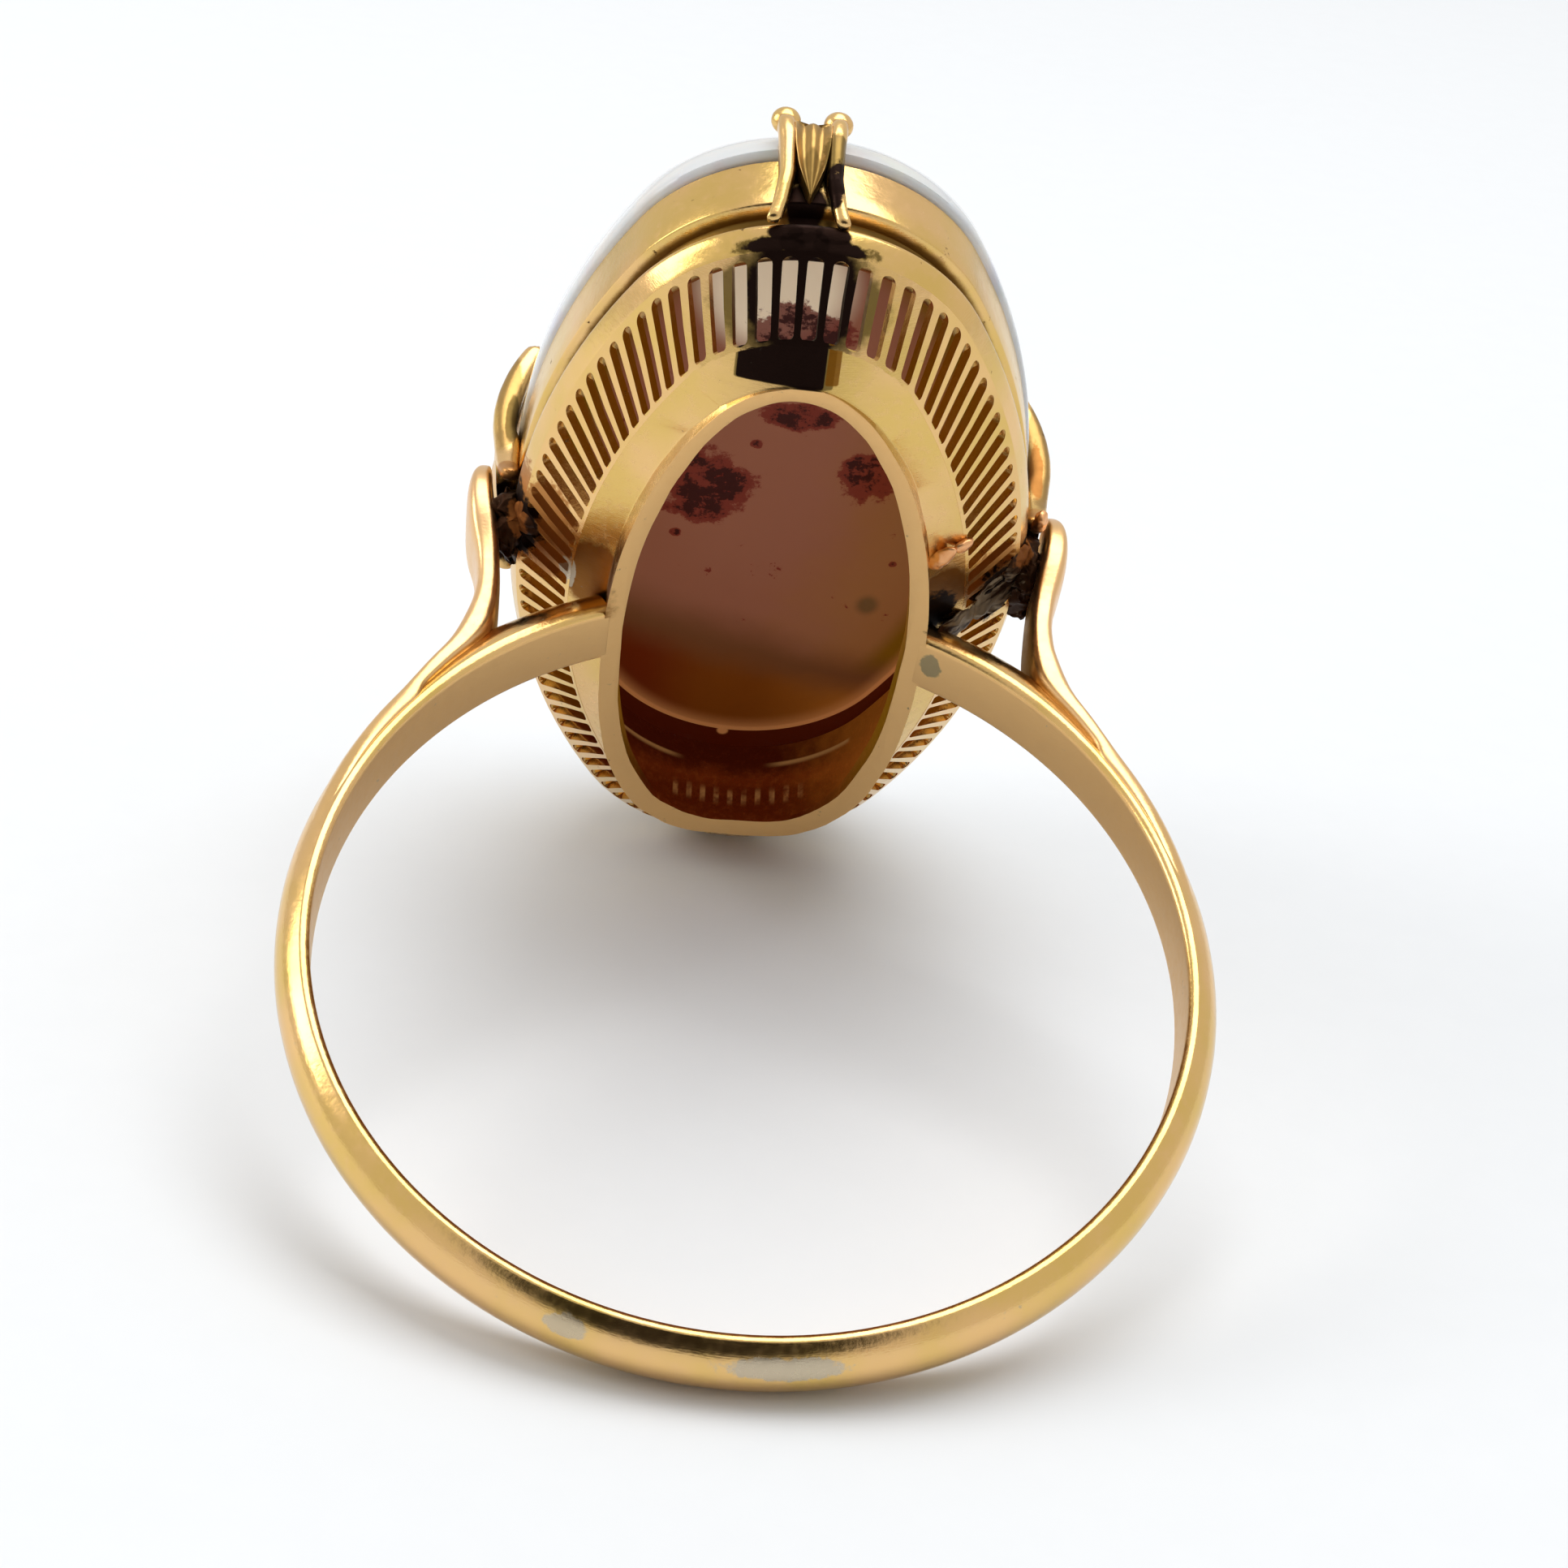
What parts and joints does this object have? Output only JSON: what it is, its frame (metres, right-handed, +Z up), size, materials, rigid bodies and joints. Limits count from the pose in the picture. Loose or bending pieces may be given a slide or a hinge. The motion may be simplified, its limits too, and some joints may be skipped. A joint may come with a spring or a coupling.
{
  "type": "opal cabochon cocktail ring",
  "caption": "Ring with an oval opal cabochon on a tall pierced gallery basket, held by forked double claws on a forked half-round shank.",
  "frame": {"origin": "on the resting surface, below the middle of the ring's bounding box as it lies on its side", "axes": "+Z up from the resting surface, +Y from the back of the shank towards the opal, +X across the shank"},
  "size_m": [0.0184, 0.0254, 0.019],
  "materials": {
    "gold": "worn polish",
    "opal": "polished"
  },
  "bodies": {
    "root": {"ring_mount": "gold", "opal": "opal"}
  },
  "joints": []
}
